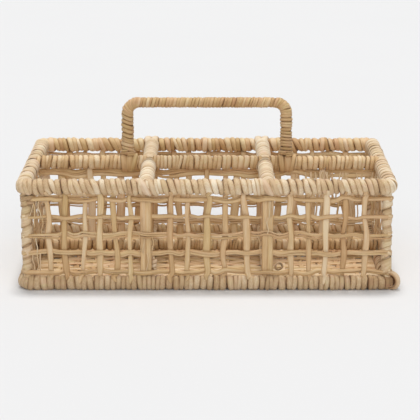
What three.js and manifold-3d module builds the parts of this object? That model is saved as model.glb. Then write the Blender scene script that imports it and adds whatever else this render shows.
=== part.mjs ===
// Six-cell glassware caddy: a welded wire frame wound with flat plant-fibre strand, open woven walls and
// dividers, a woven floor and a fixed carrying handle. Millimetres, +Z up, front toward -Y.
import * as THREE from "three";
import { mergeVertices } from "three/addons/utils/BufferGeometryUtils.js";
import Module from "manifold-3d";

const wasm = await Module();
wasm.setup();

// Driving sizes of the frame, measured between wire centres
const caddyLength = 404;
const caddyDepth = 235;
const wallHeight = 108.7;
const handleSpan = 183.4;
const handleRise = 69.2;

// Wires and the strand wound on them, measured across
const frameWire = 4;
const handleWire = 5;
const railWidth = 17;
const crossRailWidth = 16.4;
const midRailWidth = 15;
const baseCrossWidth = 12;
const baseMidWidth = 13;
const cornerPostWidth = 11;
const handleWidth = 13.3;
const strandRelief = 1.1;
const railPitch = 24.5;
const handlePitch = 15;

// Bends and outer corners
const wireBend = 6;
const handleBend = 10;
const cornerRound = 13;

// Divider posts, lashings at the handle feet and the floor
const postWidth = 11;
const postThickness = 3.4;
const innerPostWidth = 9;
const lashingLength = 15;
const lashingThickness = 1.8;
const collarHeight = 6;
const floorThickness = 3;
const floorRise = 2;
const floorPitch = 10.3;
const floorRelief = 1.4;

// The weave
const strandThickness = 1.6;
const stakeWidth = 5.5;
const weftWidth = 4.6;
const weftEdgeGap = 2.4;
const wallWefts = 5;
const frontStakes = [6, 5, 5];
const backStakes = [5, 5, 5];
const sideStakes = [4, 4];
const midStakes = [3, 3, 3];
const crossStakes = 3;
const dividerWeftShares = [0.28, 0.62, 0.93];

// Clearances and small allowances
const clearance = 0.3;
const railLap = 2;
const sides = 8;
const bendSteps = 3;

// Levels and places that follow from the sizes above
const halfLength = caddyLength / 2;
const halfDepth = caddyDepth / 2;
const crossAt = caddyLength / 6;
const stackLift = frameWire + clearance;
const baseLevel = railWidth / 2 - strandRelief;
const rimLevel = baseLevel + wallHeight;
const midLevel = rimLevel + stackLift;
const gripLevel = midLevel + handleRise;
const floorHeight = baseLevel + floorRise;
const baseCrossLevel = floorHeight + clearance + baseCrossWidth / 2;
const baseMidLevel = baseCrossLevel + stackLift;
const cornerInset = wireBend * (1 - Math.SQRT1_2);
const postReach = postThickness / 2 + strandThickness + 2 * clearance;
const innerReach = innerPostWidth / 2 + strandThickness + 2 * clearance;
const flatsToCorners = 1 / Math.cos(Math.PI / sides);

const along = {
  x: new THREE.Vector3(1, 0, 0),
  y: new THREE.Vector3(0, 1, 0),
  z: new THREE.Vector3(0, 0, 1),
};

function at(x, y, z) {
  return new THREE.Vector3(x, y, z);
}

const strandColours = {
  rim: "#b59a72",
  cross: "#d3c19b",
  mid: "#9c8260",
  base: "#b99f76",
  handle: "#a08a63",
  weave: "#b8a077",
  floor: "#a98e66",
};

function strandLook(colour) {
  return new THREE.MeshStandardMaterial({ color: colour, roughness: 0.72, metalness: 0 });
}

function wireLook() {
  return new THREE.MeshStandardMaterial({ color: "#3b3936", roughness: 0.5, metalness: 0.9 });
}

// Solids: triangle lists become three.js geometry, which is welded and handed to the boolean kernel

function geometryOf(triangles) {
  const numbers = [];
  for (const [a, b, c] of triangles) {
    const cross = b.clone().sub(a).cross(c.clone().sub(a));
    if (cross.length() > 1e-7) {
      numbers.push(...a.toArray(), ...b.toArray(), ...c.toArray());
    }
  }
  const geometry = new THREE.BufferGeometry();
  geometry.setAttribute("position", new THREE.Float32BufferAttribute(numbers, 3));
  return geometry;
}

function welded(geometry) {
  const bare = new THREE.BufferGeometry();
  bare.setAttribute("position", geometry.getAttribute("position"));
  if (geometry.index) {
    bare.setIndex(geometry.index);
  }
  return mergeVertices(bare, 1e-4);
}

function solidFrom(geometry) {
  const clean = welded(geometry);
  const mesh = new wasm.Mesh({
    numProp: 3,
    vertProperties: Float32Array.from(clean.getAttribute("position").array),
    triVerts: Uint32Array.from(clean.index.array),
  });
  return new wasm.Manifold(mesh);
}

function geometryFrom(solid) {
  const mesh = solid.getMesh();
  const geometry = new THREE.BufferGeometry();
  geometry.setAttribute("position", new THREE.Float32BufferAttribute(mesh.vertProperties, 3));
  geometry.setIndex(new THREE.Uint32BufferAttribute(mesh.triVerts, 1));
  geometry.computeVertexNormals();
  return geometry;
}

const caddy = new THREE.Group();
caddy.name = "glassware_caddy";

function place(name, shape, material) {
  const geometry = shape.isBufferGeometry ? welded(shape) : geometryFrom(shape);
  geometry.computeVertexNormals();
  const mesh = new THREE.Mesh(geometry, material);
  mesh.name = name;
  caddy.add(mesh);
}

// Straight prisms with their flats square to the axes, given by the distance across the flats

function rod(from, to, width) {
  const run = to.clone().sub(from);
  const radius = (width / 2) * flatsToCorners;
  const geometry = new THREE.CylinderGeometry(radius, radius, run.length(), sides);
  geometry.rotateY(Math.PI / sides);
  geometry.applyQuaternion(new THREE.Quaternion().setFromUnitVectors(along.y, run.normalize()));
  const centre = from.clone().add(to).multiplyScalar(0.5);
  geometry.translate(centre.x, centre.y, centre.z);
  return solidFrom(geometry);
}

function ringPoint(frame, radius, side) {
  const angle = ((side + 0.5) * 2 * Math.PI) / sides;
  const point = frame.centre.clone();
  point.addScaledVector(frame.normal, radius * Math.cos(angle));
  point.addScaledVector(frame.binormal, radius * Math.sin(angle));
  return point;
}

function ringAt(frame, width) {
  const radius = (width / 2) * flatsToCorners;
  return Array.from({ length: sides }, (_, side) => ringPoint(frame, radius, side));
}

// A bent wire: rings joined one to the next, either round a closed loop or with flat ends

function skin(rings, closed) {
  const triangles = [];
  const spans = closed ? rings.length : rings.length - 1;
  for (let k = 0; k < spans; k += 1) {
    const here = rings[k];
    const next = rings[(k + 1) % rings.length];
    for (let i = 0; i < sides; i += 1) {
      const j = (i + 1) % sides;
      triangles.push([here[i], here[j], next[j]], [here[i], next[j], next[i]]);
    }
  }
  if (!closed) {
    const last = rings[rings.length - 1];
    for (let i = 1; i < sides - 1; i += 1) {
      triangles.push([rings[0][0], rings[0][i + 1], rings[0][i]], [last[0], last[i], last[i + 1]]);
    }
  }
  return solidFrom(geometryOf(triangles));
}

function loopWire(level, width) {
  const rings = [];
  const corners = [[1, 1], [-1, 1], [-1, -1], [1, -1]];
  corners.forEach(([signX, signY], corner) => {
    const centre = at(signX * (halfLength - wireBend), signY * (halfDepth - wireBend), level);
    for (let step = 0; step <= bendSteps; step += 1) {
      const angle = ((corner + step / bendSteps) * Math.PI) / 2;
      const normal = at(Math.cos(angle), Math.sin(angle), 0);
      const frame = { normal, binormal: at(0, 0, -1), centre: centre.clone().addScaledVector(normal, wireBend) };
      rings.push(ringAt(frame, width));
    }
  });
  return skin(rings, true);
}

// The handle runs up from the middle rail, over and down again; distance is measured along its centre

const legTop = gripLevel - handleBend;
const bendRun = (handleBend * Math.PI) / 2;
const gripRun = handleSpan - 2 * handleBend;

function handleFrame(footLevel, distance) {
  const legRun = legTop - footLevel;
  const binormal = at(0, -1, 0);
  const marks = [legRun, legRun + bendRun, legRun + bendRun + gripRun, legRun + 2 * bendRun + gripRun];
  let angle = 0;
  const centre = at(0, 0, 0);
  if (distance <= marks[0]) {
    angle = Math.PI;
    centre.set(-handleSpan / 2, 0, footLevel + distance);
  } else if (distance <= marks[1]) {
    angle = Math.PI - (distance - marks[0]) / handleBend;
    const swing = at(Math.cos(angle), 0, Math.sin(angle)).multiplyScalar(handleBend);
    centre.set(-handleSpan / 2 + handleBend, 0, legTop).add(swing);
  } else if (distance <= marks[2]) {
    angle = Math.PI / 2;
    centre.set(-handleSpan / 2 + handleBend + (distance - marks[1]), 0, gripLevel);
  } else if (distance <= marks[3]) {
    angle = Math.PI / 2 - (distance - marks[2]) / handleBend;
    const swing = at(Math.cos(angle), 0, Math.sin(angle)).multiplyScalar(handleBend);
    centre.set(handleSpan / 2 - handleBend, 0, legTop).add(swing);
  } else {
    angle = 0;
    centre.set(handleSpan / 2, 0, legTop - (distance - marks[3]));
  }
  return { centre, normal: at(Math.cos(angle), 0, Math.sin(angle)), binormal };
}

function handleLength(footLevel) {
  return 2 * (legTop - footLevel) + 2 * bendRun + gripRun;
}

function bentHandle(footLevel, width) {
  const legRun = legTop - footLevel;
  const stations = [0];
  for (const start of [legRun, legRun + bendRun + gripRun]) {
    for (let step = 0; step <= bendSteps; step += 1) {
      stations.push(start + (bendRun * step) / bendSteps);
    }
  }
  stations.push(handleLength(footLevel));
  return skin(stations.map((distance) => ringAt(handleFrame(footLevel, distance), width)), false);
}

// Strand wound on a rail: one ridge that runs round the rail as a true helix, with its two cut ends

function wound(frameAt, length, width, pitch, lowest = -Infinity) {
  const turns = Math.max(3, Math.round(length / pitch));
  const advance = length / turns;
  const lastRow = 2 * (turns - 1);
  const radii = [width / 2 - strandRelief, width / 2].map((radius) => radius * flatsToCorners);
  const pressed = (point) => point.setZ(Math.max(point.z, lowest));
  const ridge = (row, side) => {
    if (side === sides) {
      return ridge(row + 2, 0);
    }
    return pressed(ringPoint(frameAt((row / 2 + side / sides) * advance), radii[row % 2], side));
  };
  const endRing = (row) => {
    const frame = frameAt((row / 2) * advance);
    return Array.from({ length: sides + 1 }, (_, side) => pressed(ringPoint(frame, radii[0], side % sides)));
  };
  const first = endRing(0);
  const last = endRing(lastRow + 2);
  const triangles = [];
  const quad = (a, b, c, d) => triangles.push([a, b, c], [a, c, d]);
  for (let side = 0; side < sides; side += 1) {
    quad(first[side], first[side + 1], ridge(0, side + 1), ridge(0, side));
    for (let row = 0; row < lastRow; row += 1) {
      quad(ridge(row, side), ridge(row, side + 1), ridge(row + 1, side + 1), ridge(row + 1, side));
    }
    quad(ridge(lastRow, side), ridge(lastRow, side + 1), last[side + 1], last[side]);
  }
  triangles.push([ridge(0, 0), ridge(1, 0), ridge(2, 0)]);
  triangles.push([ridge(lastRow + 2, 0), ridge(lastRow + 1, 0), ridge(lastRow, 0)]);
  for (let side = 1; side < sides - 1; side += 1) {
    triangles.push([first[0], first[side + 1], first[side]], [last[0], last[side], last[side + 1]]);
  }
  return solidFrom(geometryOf(triangles));
}

function woundStraight(from, to, width, lowest = -Infinity) {
  const run = to.clone().sub(from);
  const length = run.length();
  const tangent = run.clone().normalize();
  const normal = along.z.clone();
  const binormal = tangent.clone().cross(normal);
  const frameAt = (distance) => ({ centre: from.clone().addScaledVector(tangent, distance), normal, binormal });
  return wound(frameAt, length, width, railPitch, lowest);
}

// Open plain weave: straight stakes, with wefts that pass before and behind them by turns.
// Posts stand among the stakes as pieces of their own, and the wefts pass round them.

function faceToward(triangles, corners, outward) {
  const [a, b, c, d] = corners;
  const normal = b.clone().sub(a).cross(c.clone().sub(a));
  const kept = normal.dot(outward) > 0;
  triangles.push(kept ? [a, b, c] : [c, b, a]);
  if (d) {
    triangles.push(kept ? [a, c, d] : [d, c, a]);
  }
}

// Both thin edges of a stake: the marks up its back and its front are joined by turns, like a zip

function edgeStrip(stake, marks, half, face) {
  for (const out of [-1, 1]) {
    const u = stake.u + (out * stakeWidth) / 2;
    let back = 0;
    let front = 0;
    while (back < marks[-1].length - 1 || front < marks[1].length - 1) {
      const nextBack = marks[-1][back + 1] ?? Infinity;
      const nextFront = marks[1][front + 1] ?? Infinity;
      const corners = [[u, marks[-1][back], -half], [u, marks[1][front], half]];
      if (nextBack <= nextFront) {
        back += 1;
        corners.push([u, marks[-1][back], -half]);
      } else {
        front += 1;
        corners.push([u, marks[1][front], half]);
      }
      face(corners, [out, 0, 0]);
    }
  }
}

function woven({ uprights, levels, bottom, top, start, end, toWorld }) {
  const triangles = [];
  const half = strandThickness / 2;
  const face = (corners, outward) => {
    const origin = toWorld(0, 0, 0);
    const points = corners.map(([u, v, w]) => toWorld(u, v, w));
    faceToward(triangles, points, toWorld(...outward).sub(origin));
  };
  const ribbon = (from, to, low, high) => {
    face([[from.u, low, from.w + half], [to.u, low, to.w + half], [to.u, high, to.w + half],
      [from.u, high, from.w + half]], [0, 0, 1]);
    face([[from.u, low, from.w - half], [to.u, low, to.w - half], [to.u, high, to.w - half],
      [from.u, high, from.w - half]], [0, 0, -1]);
    for (const [level, up] of [[low, -1], [high, 1]]) {
      face([[from.u, level, from.w - half], [to.u, level, to.w - half], [to.u, level, to.w + half],
        [from.u, level, from.w + half]], [0, up, 0]);
    }
  };
  const ribbonEnd = (spot, low, high, outward) => {
    face([[spot.u, low, spot.w - half], [spot.u, low, spot.w + half], [spot.u, high, spot.w + half],
      [spot.u, high, spot.w - half]], [outward, 0, 0]);
  };
  const crossing = (stake, side, low, high) => {
    const left = stake.u - stakeWidth / 2;
    const right = stake.u + stakeWidth / 2;
    const inner = side * half;
    const outer = side * (strandThickness + half);
    stake.covered.push({ side, low, high });
    face([[left, low, outer], [right, low, outer], [right, high, outer], [left, high, outer]], [0, 0, side]);
    for (const [level, up] of [[low, -1], [high, 1]]) {
      face([[left, level, inner], [right, level, inner], [right, level, outer], [left, level, outer]], [0, up, 0]);
    }
  };
  levels.forEach((level, row) => {
    const low = level - weftWidth / 2;
    const high = level + weftWidth / 2;
    let before = null;
    uprights.forEach((upright, column) => {
      const side = (row + column) % 2 === 0 ? -1 : 1;
      const reach = upright.post ? upright.post.width / 2 : stakeWidth / 2;
      const away = upright.post ? upright.post.thickness / 2 + clearance + half : strandThickness;
      const enter = { u: upright.u - reach, w: side * away };
      const leave = { u: upright.u + reach, w: side * away };
      if (before === null) {
        before = { u: start, w: enter.w };
        ribbonEnd(before, low, high, -1);
      }
      ribbon(before, enter, low, high);
      if (upright.post) {
        ribbon(enter, leave, low, high);
      } else {
        crossing(upright, side, low, high);
      }
      before = leave;
    });
    const finish = { u: end, w: before.w };
    ribbon(before, finish, low, high);
    ribbonEnd(finish, low, high, 1);
  });
  for (const stake of uprights.filter((upright) => !upright.post)) {
    const left = stake.u - stakeWidth / 2;
    const right = stake.u + stakeWidth / 2;
    const marks = {};
    for (const out of [-1, 1]) {
      const covered = stake.covered.filter((span) => span.side === out);
      marks[out] = [bottom, ...covered.flatMap((span) => [span.low, span.high]), top];
      for (let k = 0; k < marks[out].length; k += 2) {
        const [low, high] = [marks[out][k], marks[out][k + 1]];
        face([[left, low, out * half], [right, low, out * half], [right, high, out * half],
          [left, high, out * half]], [0, 0, out]);
      }
    }
    edgeStrip(stake, marks, half, face);
    for (const [level, up] of [[bottom, -1], [top, 1]]) {
      face([[left, level, -half], [right, level, -half], [right, level, half], [left, level, half]], [0, up, 0]);
    }
  }
  return geometryOf(triangles);
}

function evenLevels(bottom, top, count) {
  const first = bottom + weftEdgeGap + weftWidth / 2;
  const last = top - weftEdgeGap - weftWidth / 2;
  return Array.from({ length: count }, (_, row) => first + ((last - first) * row) / (count - 1));
}

function sharedLevels(bottom, top) {
  return dividerWeftShares.map((share) => bottom + (top - bottom) * share);
}

function uprightsAcross(edges, stakeCounts, post) {
  const uprights = [];
  stakeCounts.forEach((count, bay) => {
    const width = edges[bay + 1] - edges[bay];
    if (bay > 0) {
      uprights.push({ u: edges[bay], post });
    }
    for (let stake = 1; stake <= count; stake += 1) {
      uprights.push({ u: edges[bay] + (width * stake) / (count + 1), covered: [] });
    }
  });
  return uprights;
}

// The wire frame
const wireGap = frameWire / 2 + clearance;
const wires = {
  rim_wire: [(extra) => loopWire(rimLevel, frameWire + extra)],
  base_wire: [(extra) => loopWire(baseLevel, frameWire + extra)],
};
const straightWire = (name, from, to) => {
  wires[name] = [(extra) => rod(from, to, frameWire + extra)];
};
const leftRight = [["left", -1], ["right", 1]];
const frontBack = [["front", -1], ["back", 1]];
for (const [name, sign] of leftRight) {
  const x = sign * crossAt;
  straightWire(`cross_wire_${name}`, at(x, -halfDepth + wireGap, rimLevel), at(x, halfDepth - wireGap, rimLevel));
  const baseEnd = halfDepth - postReach;
  straightWire(`base_cross_wire_${name}`, at(x, -baseEnd, baseCrossLevel), at(x, baseEnd, baseCrossLevel));
}
const midEnd = halfLength + frameWire / 2;
straightWire("mid_wire", at(-midEnd, 0, midLevel), at(midEnd, 0, midLevel));
const baseMidEnd = halfLength - postReach;
straightWire("base_mid_wire", at(-baseMidEnd, 0, baseMidLevel), at(baseMidEnd, 0, baseMidLevel));
for (const [depthName, depthSign] of frontBack) {
  for (const [name, sign] of leftRight) {
    const x = sign * (halfLength - cornerInset);
    const y = depthSign * (halfDepth - cornerInset);
    const low = at(x, y, baseLevel + wireGap);
    straightWire(`corner_wire_${depthName}_${name}`, low, at(x, y, rimLevel - wireGap));
  }
}
const handleFoot = midLevel + wireGap;
wires.handle_wire = [(extra) => bentHandle(handleFoot, handleWire + extra)];

let wireRoom = null;
for (const [name, [make]] of Object.entries(wires)) {
  place(name, make(0), wireLook());
  const room = make(2 * clearance);
  wireRoom = wireRoom === null ? room : wireRoom.add(room);
}

// Rim and base rails: mitred where they meet at the corners, rounded on the outside of each corner
function cornerBlock(sign, alongX) {
  const run = alongX ? halfLength : halfDepth;
  const offset = alongX ? halfDepth : halfLength;
  const mitre = (clearance / 2) * Math.SQRT2;
  const outer = new THREE.Shape();
  outer.moveTo(-run - railWidth + mitre, -offset - railWidth);
  outer.lineTo(run + railWidth - mitre, -offset - railWidth);
  outer.lineTo(run - railWidth - mitre, -offset + railWidth);
  outer.lineTo(-run + railWidth + mitre, -offset + railWidth);
  outer.closePath();
  const sector = new THREE.ExtrudeGeometry(outer, { depth: 2 * rimLevel, bevelEnabled: false });
  sector.translate(0, 0, -railWidth);
  const turn = alongX ? (sign < 0 ? 0 : Math.PI) : sign < 0 ? -Math.PI / 2 : Math.PI / 2;
  sector.rotateZ(turn);
  return solidFrom(sector).intersect(roundedPrism());
}

function roundedPrism() {
  const x = halfLength + railWidth / 2;
  const y = halfDepth + railWidth / 2;
  const outline = new THREE.Shape();
  outline.absarc(x - cornerRound, y - cornerRound, cornerRound, 0, Math.PI / 2);
  outline.absarc(-x + cornerRound, y - cornerRound, cornerRound, Math.PI / 2, Math.PI);
  outline.absarc(-x + cornerRound, -y + cornerRound, cornerRound, Math.PI, 1.5 * Math.PI);
  outline.absarc(x - cornerRound, -y + cornerRound, cornerRound, 1.5 * Math.PI, 2 * Math.PI);
  const prism = new THREE.ExtrudeGeometry(outline, { depth: 2 * rimLevel, bevelEnabled: false, curveSegments: 3 });
  prism.translate(0, 0, -railWidth);
  return solidFrom(prism);
}

const railEnds = {
  front: (level, reach) => [at(-halfLength - reach, -halfDepth, level), at(halfLength + reach, -halfDepth, level)],
  back: (level, reach) => [at(halfLength + reach, halfDepth, level), at(-halfLength - reach, halfDepth, level)],
  left: (level, reach) => [at(-halfLength, halfDepth + reach, level), at(-halfLength, -halfDepth - reach, level)],
  right: (level, reach) => [at(halfLength, -halfDepth - reach, level), at(halfLength, halfDepth + reach, level)],
};
const cornerBlocks = {
  front: cornerBlock(-1, true),
  back: cornerBlock(1, true),
  left: cornerBlock(-1, false),
  right: cornerBlock(1, false),
};
const keepOut = {};
for (const [side, ends] of Object.entries(railEnds)) {
  for (const [name, level] of [["rim", rimLevel], ["base", baseLevel]]) {
    const [from, to] = ends(level, railWidth / 2);
    const rail = woundStraight(from, to, railWidth, 0).intersect(cornerBlocks[side]).subtract(wireRoom);
    place(`${name}_wrap_${side}`, rail, strandLook(strandColours[name]));
    keepOut[`${name}_${side}`] = rod(from, to, railWidth + 2 * clearance);
  }
}

// Divider rails at the top: the cross rails run front to back, the middle rail runs between them
const crossFrom = (x) => at(x, -halfDepth + railWidth / 2 - railLap, rimLevel);
const crossTo = (x) => at(x, halfDepth - railWidth / 2 + railLap, rimLevel);
for (const [name, sign] of leftRight) {
  const x = sign * crossAt;
  const rail = woundStraight(crossFrom(x), crossTo(x), crossRailWidth);
  const fitted = rail.subtract(keepOut.rim_front).subtract(keepOut.rim_back).subtract(wireRoom);
  place(`cross_wrap_${name}`, fitted, strandLook(strandColours.cross));
  keepOut[`cross_${name}`] = rod(crossFrom(x), crossTo(x), crossRailWidth + 2 * clearance);
}
const sideStop = halfLength - railWidth / 2 + railLap;
const crossStop = crossRailWidth / 2 - railLap;
const midRuns = [
  ["left", -sideStop, -crossAt - crossStop],
  ["middle", -crossAt + crossStop, crossAt - crossStop],
  ["right", crossAt + crossStop, sideStop],
];
for (const [name, from, to] of midRuns) {
  let rail = woundStraight(at(from, 0, midLevel), at(to, 0, midLevel), midRailWidth);
  for (const other of ["rim_left", "rim_right", "cross_left", "cross_right"]) {
    rail = rail.subtract(keepOut[other]);
  }
  place(`mid_wrap_${name}`, rail.subtract(wireRoom), strandLook(strandColours.mid));
}
keepOut.mid = rod(at(-sideStop, 0, midLevel), at(sideStop, 0, midLevel), midRailWidth + 2 * clearance);

// Divider rails at the bottom lie on the floor; the long one saddles the two that run front to back
for (const [name, sign] of leftRight) {
  const x = sign * crossAt;
  const from = at(x, -halfDepth + postReach, baseCrossLevel);
  const to = at(x, halfDepth - postReach, baseCrossLevel);
  const rail = rod(from, to, baseCrossWidth).subtract(keepOut.base_front).subtract(keepOut.base_back);
  place(`base_cross_wrap_${name}`, rail.subtract(wireRoom), strandLook(strandColours.base));
  keepOut[`base_cross_${name}`] = rod(from, to, baseCrossWidth + 2 * clearance);
}
const baseMidFrom = at(-baseMidEnd, 0, baseMidLevel);
const baseMidTo = at(baseMidEnd, 0, baseMidLevel);
let baseMid = rod(baseMidFrom, baseMidTo, baseMidWidth);
for (const other of ["base_left", "base_right", "base_cross_left", "base_cross_right"]) {
  baseMid = baseMid.subtract(keepOut[other]);
}
place("base_mid_wrap", baseMid.subtract(wireRoom), strandLook(strandColours.base));

// Wound corner posts
for (const [depthName, depthSign] of frontBack) {
  for (const [name, sign] of leftRight) {
    const x = sign * (halfLength - cornerInset);
    const y = depthSign * (halfDepth - cornerInset);
    let post = rod(at(x, y, baseLevel), at(x, y, rimLevel), cornerPostWidth);
    for (const other of [`rim_${depthName}`, `rim_${name}`, `base_${depthName}`, `base_${name}`]) {
      post = post.subtract(keepOut[other]);
    }
    place(`corner_wrap_${depthName}_${name}`, post.subtract(wireRoom), strandLook(strandColours.base));
  }
}

// Flat divider posts in the walls, and the round ones where the dividers cross
const wallBottom = baseLevel + railWidth / 2 + clearance;
const wallTop = rimLevel - railWidth / 2 - clearance;
const crossBottom = baseCrossLevel + baseCrossWidth / 2 + clearance;
const crossTop = rimLevel - crossRailWidth / 2 - clearance;
const midBottom = baseMidLevel + baseMidWidth / 2 + clearance;
const midTop = midLevel - midRailWidth / 2 - clearance;

function flatPost(x, y, alongX) {
  const broad = postWidth / 2;
  const thin = postThickness / 2;
  const section = new THREE.Shape();
  section.moveTo(-broad, -thin / 2);
  section.lineTo(-broad / 2, -thin);
  section.lineTo(broad / 2, -thin);
  section.lineTo(broad, -thin / 2);
  section.lineTo(broad, thin / 2);
  section.lineTo(broad / 2, thin);
  section.lineTo(-broad / 2, thin);
  section.lineTo(-broad, thin / 2);
  section.closePath();
  const post = new THREE.ExtrudeGeometry(section, { depth: wallTop - wallBottom, bevelEnabled: false });
  if (!alongX) {
    post.rotateZ(Math.PI / 2);
  }
  post.translate(x, y, wallBottom);
  return post;
}

for (const [name, sign] of leftRight) {
  for (const [depthName, depthSign] of frontBack) {
    const post = flatPost(sign * crossAt, depthSign * halfDepth, true);
    place(`${depthName}_post_${name}`, post, strandLook(strandColours.weave));
  }
  place(`side_post_${name}`, flatPost(sign * halfLength, 0, false), strandLook(strandColours.weave));
  const inner = rod(at(sign * crossAt, 0, midBottom), at(sign * crossAt, 0, crossTop), innerPostWidth);
  place(`inner_post_${name}`, inner, strandLook(strandColours.weave));
}

// Woven walls and dividers
const wallPost = { width: postWidth, thickness: postThickness };
const innerPost = { width: innerPostWidth, thickness: innerPostWidth };
const bayEdges = [-halfLength, -crossAt, crossAt, halfLength];
const cornerToCorner = halfLength - cornerPostWidth;
const columnEdges = [-cornerToCorner, -crossAt, crossAt, cornerToCorner];
const rowEdges = [cornerPostWidth - halfDepth, 0, halfDepth - cornerPostWidth];
const cornerStop = cornerInset + cornerPostWidth / 2 + clearance;
const wallLevels = evenLevels(wallBottom, wallTop, wallWefts);

for (const [name, y, counts] of [["front", -halfDepth, frontStakes], ["back", halfDepth, backStakes]]) {
  const panel = woven({
    uprights: uprightsAcross(columnEdges, counts, wallPost),
    levels: wallLevels,
    bottom: wallBottom,
    top: wallTop,
    start: -halfLength + cornerStop,
    end: halfLength - cornerStop,
    toWorld: (u, v, w) => at(u, y + w, v),
  });
  place(`${name}_weave`, panel, strandLook(strandColours.weave));
}
for (const [name, sign] of leftRight) {
  const panel = woven({
    uprights: uprightsAcross(rowEdges, sideStakes, wallPost),
    levels: wallLevels,
    bottom: wallBottom,
    top: wallTop,
    start: -halfDepth + cornerStop,
    end: halfDepth - cornerStop,
    toWorld: (u, v, w) => at(sign * halfLength + w, u, v),
  });
  place(`side_weave_${name}`, panel, strandLook(strandColours.weave));
}
const midPanel = woven({
  uprights: uprightsAcross(bayEdges, midStakes, innerPost),
  levels: sharedLevels(midBottom, wallTop),
  bottom: midBottom,
  top: midTop,
  start: -halfLength + postReach,
  end: halfLength - postReach,
  toWorld: (u, v, w) => at(u, w, v),
});
place("mid_weave", midPanel, strandLook(strandColours.weave));
for (const [name, sign] of leftRight) {
  for (const [depthName, depthSign] of frontBack) {
    const ends = [depthSign * innerReach, depthSign * (halfDepth - postReach)].sort((a, b) => a - b);
    const panel = woven({
      uprights: uprightsAcross([Math.min(0, depthSign * halfDepth), Math.max(0, depthSign * halfDepth)],
        [crossStakes]),
      levels: sharedLevels(crossBottom, wallTop),
      bottom: crossBottom,
      top: crossTop,
      start: ends[0],
      end: ends[1],
      toWorld: (u, v, w) => at(sign * crossAt + w, u, v),
    });
    place(`cross_weave_${depthName}_${name}`, panel, strandLook(strandColours.weave));
  }
}

// Floor: strands along X woven over and under ribs that carry on from the back stakes, each crossing raised
const floorHalfX = halfLength - railWidth / 2 - clearance;
const floorHalfY = halfDepth - railWidth / 2 - clearance;
const strands = Math.round((2 * floorHalfY) / floorPitch);
const ribs = uprightsAcross(columnEdges, backStakes, wallPost).map((upright) => upright.u);
const ribEdges = [-floorHalfX, ...ribs.slice(1).map((rib, k) => (rib + ribs[k]) / 2), floorHalfX];
const strandEdges = Array.from({ length: strands + 1 }, (_, k) => floorHalfY * ((2 * k) / strands - 1));
const groove = floorHeight - floorRelief;
const underside = floorHeight - floorThickness;
const floorFaces = [];
ribs.forEach((rib, column) => {
  for (let row = 0; row < strands; row += 1) {
    const crest = at(rib, (strandEdges[row] + strandEdges[row + 1]) / 2, floorHeight);
    const corners = [[0, 0], [1, 0], [1, 1], [0, 1]].map(
      ([stepX, stepY]) => at(ribEdges[column + stepX], strandEdges[row + stepY], groove));
    corners.forEach((corner, k) => floorFaces.push([corner, corners[(k + 1) % corners.length], crest]));
  }
});

function floorEdge(brow) {
  const last = brow[brow.length - 1];
  const foot = at(brow[0].x, brow[0].y, underside);
  floorFaces.push([foot, at(last.x, last.y, underside), last]);
  for (let k = 1; k < brow.length; k += 1) {
    floorFaces.push([foot, brow[k], brow[k - 1]]);
  }
}

floorEdge(ribEdges.map((x) => at(x, -floorHalfY, groove)));
floorEdge(strandEdges.map((y) => at(floorHalfX, y, groove)));
floorEdge([...ribEdges].reverse().map((x) => at(x, floorHalfY, groove)));
floorEdge([...strandEdges].reverse().map((y) => at(-floorHalfX, y, groove)));
const feet = [[-1, -1], [-1, 1], [1, 1], [1, -1]].map(
  ([signX, signY]) => at(signX * floorHalfX, signY * floorHalfY, underside));
floorFaces.push([feet[0], feet[1], feet[2]], [feet[0], feet[2], feet[3]]);
place("floor_weave", geometryOf(floorFaces), strandLook(strandColours.floor));

// Wound handle and the lashings that bind its feet to the middle rail
const lashingWidth = midRailWidth + 2 * clearance + 2 * lashingThickness;
const collarFoot = midLevel + lashingWidth / 2 - lashingThickness;
const collarWidth = handleWidth + 2 * clearance + 2 * lashingThickness;
const handleBottom = midLevel + midRailWidth / 2 + clearance;
const handleRoom = bentHandle(handleBottom, handleWidth + 2 * clearance);
for (const [name, sign] of leftRight) {
  const x = sign * (handleSpan / 2);
  const band = rod(at(x - lashingLength / 2, 0, midLevel), at(x + lashingLength / 2, 0, midLevel), lashingWidth);
  const collar = rod(at(x, 0, collarFoot), at(x, 0, collarFoot + collarHeight), collarWidth);
  const slot = new THREE.BoxGeometry(2 * lashingLength, strandThickness + 2 * clearance, lashingWidth);
  slot.translate(x, 0, midLevel - lashingWidth / 2);
  const lashing = band.add(collar).subtract(keepOut.mid).subtract(handleRoom).subtract(solidFrom(slot));
  place(`foot_lashing_${name}`, lashing, strandLook(strandColours.handle));
}
const grip = wound(
  (distance) => handleFrame(handleBottom, distance), handleLength(handleBottom), handleWidth, handlePitch);
place("handle_wrap", grip.subtract(wireRoom), strandLook(strandColours.handle));

export default caddy;
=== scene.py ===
import bpy
import math
import numpy as np
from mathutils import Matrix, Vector


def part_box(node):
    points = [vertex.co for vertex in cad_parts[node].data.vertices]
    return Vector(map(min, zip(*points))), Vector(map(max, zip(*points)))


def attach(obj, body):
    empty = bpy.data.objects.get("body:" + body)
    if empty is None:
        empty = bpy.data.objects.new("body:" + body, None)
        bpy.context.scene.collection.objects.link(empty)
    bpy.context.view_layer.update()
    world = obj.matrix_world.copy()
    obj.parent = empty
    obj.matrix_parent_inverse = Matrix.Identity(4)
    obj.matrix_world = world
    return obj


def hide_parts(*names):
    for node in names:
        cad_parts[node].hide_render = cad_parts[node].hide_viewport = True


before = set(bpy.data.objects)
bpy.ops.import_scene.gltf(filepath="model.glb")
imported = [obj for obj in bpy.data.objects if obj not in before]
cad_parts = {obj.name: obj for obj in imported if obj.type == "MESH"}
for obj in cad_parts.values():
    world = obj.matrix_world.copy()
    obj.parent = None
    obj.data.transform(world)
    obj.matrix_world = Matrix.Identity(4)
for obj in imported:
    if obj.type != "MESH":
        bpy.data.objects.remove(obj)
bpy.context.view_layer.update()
print("frame loaded:", len(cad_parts), "nodes")


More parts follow.
